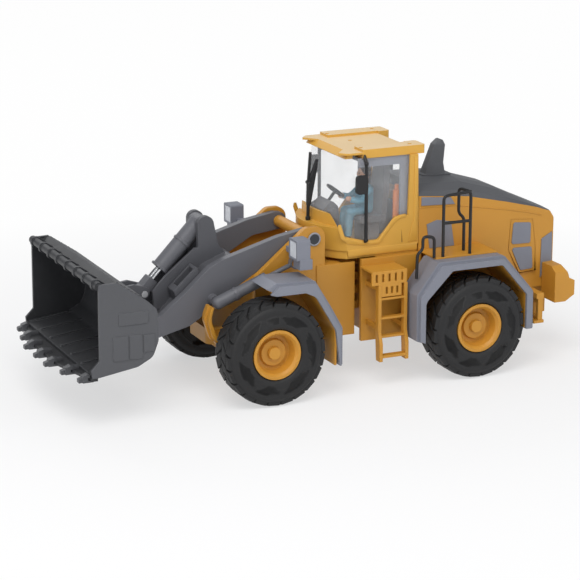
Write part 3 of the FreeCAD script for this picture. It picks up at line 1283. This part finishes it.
def cab_block(inset, nose, z0, z1):
    return Part.Face(cab_plan(inset, nose, z0)).extrude(V(0, 0, z1 - z0))


def cab_greenhouse(inset, z0, z1):
    """The cab's glazed volume: upright to the sill, then leaning back in front up to the roof."""
    low = cab_plan(inset, GLASS_NOSE, CAB_SILL_Z)
    upper = Part.makeLoft([low, cab_plan(inset, GLASS_NOSE, z1, GLASS_LEAN)], True, True)
    return join([cab_block(inset, GLASS_NOSE, z0, CAB_SILL_Z), upper])


def window_cut():
    """Side outline of the space above the sill that is open for the windows."""
    return plate([
        (PIVOT_X + 19.5, CAB_SILL_Z + 1.0),
        (PIVOT_X + 18.5, CAB_SILL_Z - 1.5, 3.0),
        (PIVOT_X + 13.5, 127.0, 4.0),
        (PIVOT_X - 6.0, 121.5, 10.0),
        (PIVOT_X - 18.5, 121.2, 5.0),
        (PIVOT_X - 35.0, 140.0, 4.0),
        (CAB_BACK_X + 10.0, 140.0),
        (CAB_BACK_X + 10.0, CAB_SILL_Z + 1.0),
    ], "xz", -CAB_HALF_WIDTH - 1.0, CAB_HALF_WIDTH + 1.0)


def cab_shell():
    """Yellow cab tub with its floor, rounded cowl in front, stepped skirt and the two rear pillars."""
    w = CAB_WALL
    skirt = cab_block(1.0, CAB_NOSE, CAB_FLOOR_Z, CAB_FLOOR_Z + 8.0)
    cowl = cab_block(0.0, CAB_NOSE, CAB_FLOOR_Z + 7.0, COWL_Z)
    upper = cab_block(0.0, GLASS_NOSE, COWL_Z - 1.0, CAB_SILL_Z)
    room = cab_block(w, CAB_NOSE, CAB_FLOOR_Z + 2.4, COWL_Z - w)
    tub = join([skirt, cowl, upper]).cut(join([room, cab_block(w, GLASS_NOSE, COWL_Z - w - 1.0, CAB_SILL_Z + 1.0)]))
    tub = tub.cut(window_cut())
    back = CAB_BACK_X
    pillars = []
    for side in (1, -1):
        y0, y1 = sorted((side * (CAB_HALF_WIDTH - w), side * CAB_HALF_WIDTH))
        pillars.append(plate([
            (back, 138.0),
            (back + 10.0, 138.0),
            (back + 8.5, ROOF_BOTTOM_Z),
            (back + 1.0, ROOF_BOTTOM_Z),
        ], "xz", y0, y1))
    rear_sill = box(back, back + w, -CAB_HALF_WIDTH, CAB_HALF_WIDTH, 138.0, CAB_SILL_Z + 8.0)
    return join([tub] + pillars + [rear_sill])


def cab_glazing():
    """One clear window shell that stands inside the tub and carries the roof."""
    w = CAB_WALL + 0.2
    shell = cab_greenhouse(w, CAB_FLOOR_Z + 2.4, ROOF_BOTTOM_Z)
    return shell.cut(cab_greenhouse(w + GLASS, CAB_FLOOR_Z + 1.0, ROOF_BOTTOM_Z + 0.01))


def cab_roof():
    """Roof slab with two raised side rails, thin front tips, rear ears and a sloped front visor."""
    y_in, y_out = ROOF_HALF_WIDTH - 17.0, ROOF_HALF_WIDTH
    front, back = PIVOT_X + 4.5, CAB_BACK_X + 4.5
    slab = box(back, front, -y_in - 1.0, y_in + 1.0, ROOF_BOTTOM_Z, ROOF_TOP_Z - 2.2)
    pieces = [slab]
    for side in (1, -1):
        rail = plate([
            (front - 9.0, y_in),
            (front - 9.0, y_out, 1.0),
            (back - 11.0, y_out, 2.0),
            (back - 11.0, y_in - 2.0, 2.0),
            (back, y_in - 2.0),
            (back, y_in),
        ], "xy", ROOF_BOTTOM_Z, ROOF_TOP_Z)
        tip = plate([
            (front - 10.0, y_in - 2.0),
            (front + 1.0, y_in - 2.0),
            (front + 11.0, y_out - 7.0, 1.0),
            (front + 5.0, y_out, 5.0),
            (front - 10.0, y_out),
        ], "xy", ROOF_TOP_Z - 4.0, ROOF_TOP_Z - 2.2)
        pieces += [rail, tip] if side == 1 else [mirrored(rail), mirrored(tip)]
    visor = plate([
        (front - 1.0, ROOF_BOTTOM_Z),
        (front - 1.0, ROOF_TOP_Z - 2.2),
        (front + 1.0, ROOF_TOP_Z - 2.2),
        (front + 6.0, ROOF_BOTTOM_Z),
    ], "xz", -y_out + 4.0, y_out - 4.0)
    body = join(pieces + [visor])
    dimples = []
    for x, y in ((PIVOT_X - 7.0, y_out - 10.0), (PIVOT_X - 52.0, y_out - 7.0)):
        for side in (1, -1):
            dimples.append(rod((x, side * y, ROOF_TOP_Z - 1.0), (x, side * y, ROOF_TOP_Z + 1.0), 1.8))
    for y in (y_in - 6.0, -8.0):
        dimples.append(rod((PIVOT_X - 17.0, y, ROOF_TOP_Z - 3.2), (PIVOT_X - 17.0, y, ROOF_TOP_Z + 1.0), 1.8))
    return body.cut(Part.makeCompound(dimples))


def cab_inner_frame():
    """Grey liner inside the windows: headliner, rear posts and rear window frame."""
    w = CAB_WALL + GLASS + 0.4
    half = CAB_HALF_WIDTH - w
    back = CAB_BACK_X + w
    headliner = box(back, PIVOT_X - 2.0, -half, half, ROOF_BOTTOM_Z - 3.0, ROOF_BOTTOM_Z)
    pieces = [headliner]
    for side in (1, -1):
        y0, y1 = sorted((side * (half - 2.0), side * half))
        pieces.append(box(back, back + 12.0, y0, y1, CAB_FLOOR_Z + 2.4, ROOF_BOTTOM_Z - 2.0))
        pieces.append(box(back, PIVOT_X - 2.0, y0, y1, ROOF_BOTTOM_Z - 8.0, ROOF_BOTTOM_Z - 2.0))
    pieces.append(box(back, back + 2.0, -half, half, CAB_FLOOR_Z + 2.4, 144.0))
    return join(pieces)


def cab_mirrors():
    """Black door rails with their mirrors, and the wiper that stands on the cab's front cowl."""
    side_x, side_y = PIVOT_X - 6.0, CAB_HALF_WIDTH + 1.6
    r_in, roof = ROOF_HALF_WIDTH - 13.0, ROOF_BOTTOM_Z
    low, high = CAB_FLOOR_Z + 14.0, roof - 4.0
    rail = pipe_run([(side_x, CAB_HALF_WIDTH, low), (side_x, side_y, low + 1.5), (side_x, side_y, high),
                     (side_x, ROOF_HALF_WIDTH - 2.0, roof + 3.5)], RAIL_RADIUS)
    knobs = [Part.makeSphere(RAIL_RADIUS + 0.6, V(side_x, side_y, z)) for z in (low + 1.5, high)]
    rail = join([rail] + knobs)
    rail = rail.cut(box(side_x - 5, side_x + 5, r_in, ROOF_HALF_WIDTH, roof - 7.5, roof + 6.5))
    rail = rail.cut(box(side_x - 5, side_x + 5, r_in, CAB_HALF_WIDTH, CAB_FLOOR_Z + 8.0, CAB_FLOOR_Z + 25.0))
    mirror = plate([(side_x + 10.0, roof - 29.5, 3.0), (side_x - 1.0, roof - 29.5, 3.0), (side_x - 1.0, roof - 13.5, 3.0),
                    (side_x + 9.5, roof - 13.5, 3.0)], "xz", side_y - 1.4, side_y + 1.8)
    outer = join([rail, mirror])
    x, y = PIVOT_X + CAB_NOSE - 4.5, WIPER_Y
    reach = ROOF_BOTTOM_Z - 6.0 - COWL_Z
    foot = rod((x, y, COWL_Z), (x, y, COWL_Z + 3.0), 2.2)
    bend = (x - 0.5, y, COWL_Z + 0.62 * reach)
    end = (x - 8.5, y, COWL_Z + reach)
    arm = pipe_run([(x, y, COWL_Z + 1.8), bend, end], 1.5)
    blade = plate([
        (x - 1.6, COWL_Z + 0.24 * reach, 0.8),
        (x + 1.0, COWL_Z + 0.24 * reach, 0.8),
        (x + 0.6, COWL_Z + 0.6 * reach, 0.8),
        (x - 6.6, COWL_Z + 0.94 * reach, 0.8),
        (x - 8.6, COWL_Z + 0.94 * reach, 0.8),
    ], "xz", y - 2.0, y + 2.0)
    joint = rod((x - 1.0, y - 4.0, bend[2]), (x - 1.0, y + 4.0, bend[2]), 1.7)
    return group([outer, mirrored(outer), join([foot, arm, blade, joint])])


SEAT_X = PIVOT_X - 29.0
SEAT_RISE = 0.2865 * CAB_ROOM


def seat():
    """Operator's seat: pedestal, cushion and a tall rounded backrest."""
    z = CAB_FLOOR_Z + 2.4
    cushion_z = z + SEAT_RISE - 6.0
    pedestal = box(SEAT_X - 8.0, SEAT_X + 6.0, -10.0, 10.0, z, cushion_z + 0.5)
    cushion = plate([(SEAT_X - 13.0, cushion_z, 2.0), (SEAT_X + 12.0, cushion_z, 2.0), (SEAT_X + 12.0, cushion_z + 6.0, 3.0),
                     (SEAT_X - 13.0, cushion_z + 6.0, 2.0)], "xz", -13.0, 13.0)
    back = plate([(-12.5, cushion_z + 2.0, 2.0), (12.5, cushion_z + 2.0, 2.0), (12.5, z + 0.6 * CAB_ROOM, 4.0),
                  (9.5, z + 0.8 * CAB_ROOM, 6.0), (-9.5, z + 0.8 * CAB_ROOM, 6.0), (-12.5, z + 0.6 * CAB_ROOM, 4.0)],
                 "yz", SEAT_X - 20.0, SEAT_X - 6.0)
    lean = plate([(SEAT_X - 13.0, cushion_z, 1.0), (SEAT_X - 8.0, cushion_z, 1.0), (SEAT_X - 12.5, z + 0.81 * CAB_ROOM, 1.0),
                  (SEAT_X - 18.5, z + 0.81 * CAB_ROOM, 1.0)], "xz", -14.0, 14.0)
    return join([pedestal, cushion, back.common(lean)])


def driver():
    """Seated driver figure, simple and rounded, with hands towards the steering wheel."""
    seat_top = CAB_FLOOR_Z + 2.4 + SEAT_RISE
    hip_x = SEAT_X + 0.5
    shoulder_top = seat_top + 0.304 * CAB_ROOM
    torso = plate([
        (hip_x - 6.5, seat_top, 3.0),
        (hip_x + 7.0, seat_top, 3.0),
        (hip_x + 5.0, shoulder_top, 5.0),
        (hip_x - 8.5, shoulder_top, 5.0),
    ], "xz", -8.0, 8.0)
    neck = rod((hip_x - 1.0, 0, shoulder_top - 2.0), (hip_x - 0.5, 0, seat_top + 0.363 * CAB_ROOM), 3.0)
    head = Part.makeSphere(6.4, V(hip_x, 0, seat_top + 0.421 * CAB_ROOM))
    limbs = []
    for side in (1, -1):
        shoulder = (hip_x - 1.0, side * 9.0, seat_top + 0.257 * CAB_ROOM)
        elbow = (hip_x + 8.0, side * 11.5, seat_top + 0.152 * CAB_ROOM)
        hand = (hip_x + 18.0, side * 7.5, seat_top + 0.187 * CAB_ROOM)
        limbs.append(pipe_run([shoulder, elbow, hand], 2.8))
        limbs.append(Part.makeSphere(3.6, V(*shoulder)))
        limbs.append(Part.makeSphere(3.0, V(*hand)))
        hip = (hip_x + 1.0, side * 4.4, seat_top + 4.2)
        knee = (hip_x + 16.0, side * 5.4, seat_top + 3.6)
        foot = (hip_x + 18.0, side * 5.4, CAB_FLOOR_Z + 6.6)
        limbs.append(pipe_run([hip, knee, foot], 3.6))
        sole, ankle = CAB_FLOOR_Z + 2.4, CAB_FLOOR_Z + 6.6
        limbs.append(box(foot[0] - 3.0, foot[0] + 5.0, foot[1] - 3.0, foot[1] + 3.0, sole, ankle))
    return join([torso, neck, head] + limbs)


def dashboard():
    """Console in front of the driver, with the steering column."""
    z = CAB_FLOOR_Z + 2.4
    x = PIVOT_X + 6.5
    column = plate([(x - 6.0, z), (x + 8.0, z), (x + 11.5, z + 34.0, 3.0), (x + 3.0, z + 42.0, 3.0), (x - 3.0, z + 36.0, 3.0)],
                   "xz", -12.0, 12.0)
    wing = plate([(x, z + 26.0), (x + 8.0, z + 26.0), (x + 8.0, z + 34.0, 2.0), (x + 2.0, z + 37.0, 2.0)],
                 "xz", -20.0, 20.0)
    return join([column, wing])


def steering_wheel():
    """Steering wheel on a short slanted shaft from the console."""
    hub = V(PIVOT_X + 0.5, 0, CAB_FLOOR_Z + 49.5)
    axis = V(-0.64, 0, 0.77).normalize()
    rim_ring = Part.makeTorus(8.0, 1.2, hub, axis)
    spokes = []
    for angle in (0, 120, 240):
        spoke = rod((0, 0, 0), (8.0, 0, 0), 0.9)
        spoke.rotate(V(0, 0, 0), V(0, 0, 1), angle)
        spoke.Placement = FreeCAD.Placement(hub, FreeCAD.Rotation(V(0, 0, 1), axis)).multiply(spoke.Placement)
        spokes.append(spoke)
    boss = Part.makeCylinder(2.0, 2.4, hub - axis * 1.2, axis)
    shaft = Part.makeCylinder(1.4, 13.0, hub - axis * 13.0, axis)
    wheel = join([rim_ring, boss, shaft] + spokes)
    return wheel.cut(dashboard())


def extinguisher():
    """Orange bottle that stands on the floor behind the seat."""
    x, y, z = CAB_BACK_X + 9.6, 22.0, CAB_FLOOR_Z + 2.4
    shoulder = 0.56 * CAB_ROOM
    bottle = rod((x, y, z), (x, y, z + shoulder), 3.3)
    neck = rod((x, y, z + shoulder), (x, y, z + shoulder + 5.0), 1.8)
    return join([bottle, neck])


def model():
    """Every node of the part, in the working frame."""
    chassis = rear_chassis().cut(power_switch_slot())
    nodes = {
        "rear_chassis": join([chassis, axle_hub(REAR_X), mirrored(axle_hub(REAR_X))]),
        "front_frame": join([front_frame(), axle_hub(0.0), mirrored(axle_hub(0.0))]),
    }
    for name, x in (("front", 0.0), ("rear", REAR_X)):
        nodes[name + "_tyres"] = both_sides(tyre(x))
        nodes[name + "_rims"] = both_sides(rim(x))
    nodes["front_axle"] = axle_shaft(0.0)
    left_right = {
        "lift_arm": lift_arm(),
        "lift_barrel": lift_barrel(),
        "lift_rod": lift_rod(),
    }
    for name, shape in left_right.items():
        nodes[name + "_left"] = shape
        nodes[name + "_right"] = mirrored(shape)
    pairs = {
        "front_arch_sheets": front_arch_sheet(),
        "rear_arch_sheets": rear_arch_sheet(),
        "front_fenders": front_fender(),
        "rear_fenders": rear_fender(),
        "ladders": ladder(),
        "work_light_housings": work_light(),
        "work_light_lenses": work_light_lens(),
        "boom_pivot_pins": boom_pivot_pin(),
        "rear_steps": rear_step(),
    }
    for name, shape in pairs.items():
        nodes[name] = both_sides(shape)
    singles = (
        front_belly_cover, tower_cross_tube, boom_crossbox, tilt_barrel, tilt_rods, tilt_clevis,
        bucket_shell, bucket_lip, bucket_teeth, bucket_hinge_bracket, bucket_pins,
        rear_axle, drive_pinion, drive_motor,
        battery_door, battery_pack, circuit_board, steering_motor, steering_pin, power_switch,
        engine_cover, engine_lid, exhaust_stack, side_panels, service_decks, rear_bumper,
        handrails, cab_shell, cab_glazing, cab_roof, cab_inner_frame, cab_mirrors, seat, driver,
        dashboard, steering_wheel, extinguisher,
    )
    for maker in singles:
        nodes[maker.__name__] = maker()
    return nodes


def origin_shift(nodes):
    """The move that puts the origin at the bottom centre of the bounding box."""
    bounds = Part.makeCompound(list(nodes.values())).BoundBox
    return V(-(bounds.XMin + bounds.XMax) / 2, -(bounds.YMin + bounds.YMax) / 2, -bounds.ZMin)


def main():
    os.makedirs("parts", exist_ok=True)
    nodes = model()
    shift = origin_shift(nodes)
    for name, shape in nodes.items():
        shape.translate(shift)
        shape.exportStep("parts/" + name + ".step")
    print("nodes", len(nodes), "shift", [round(v, 3) for v in shift])


main()
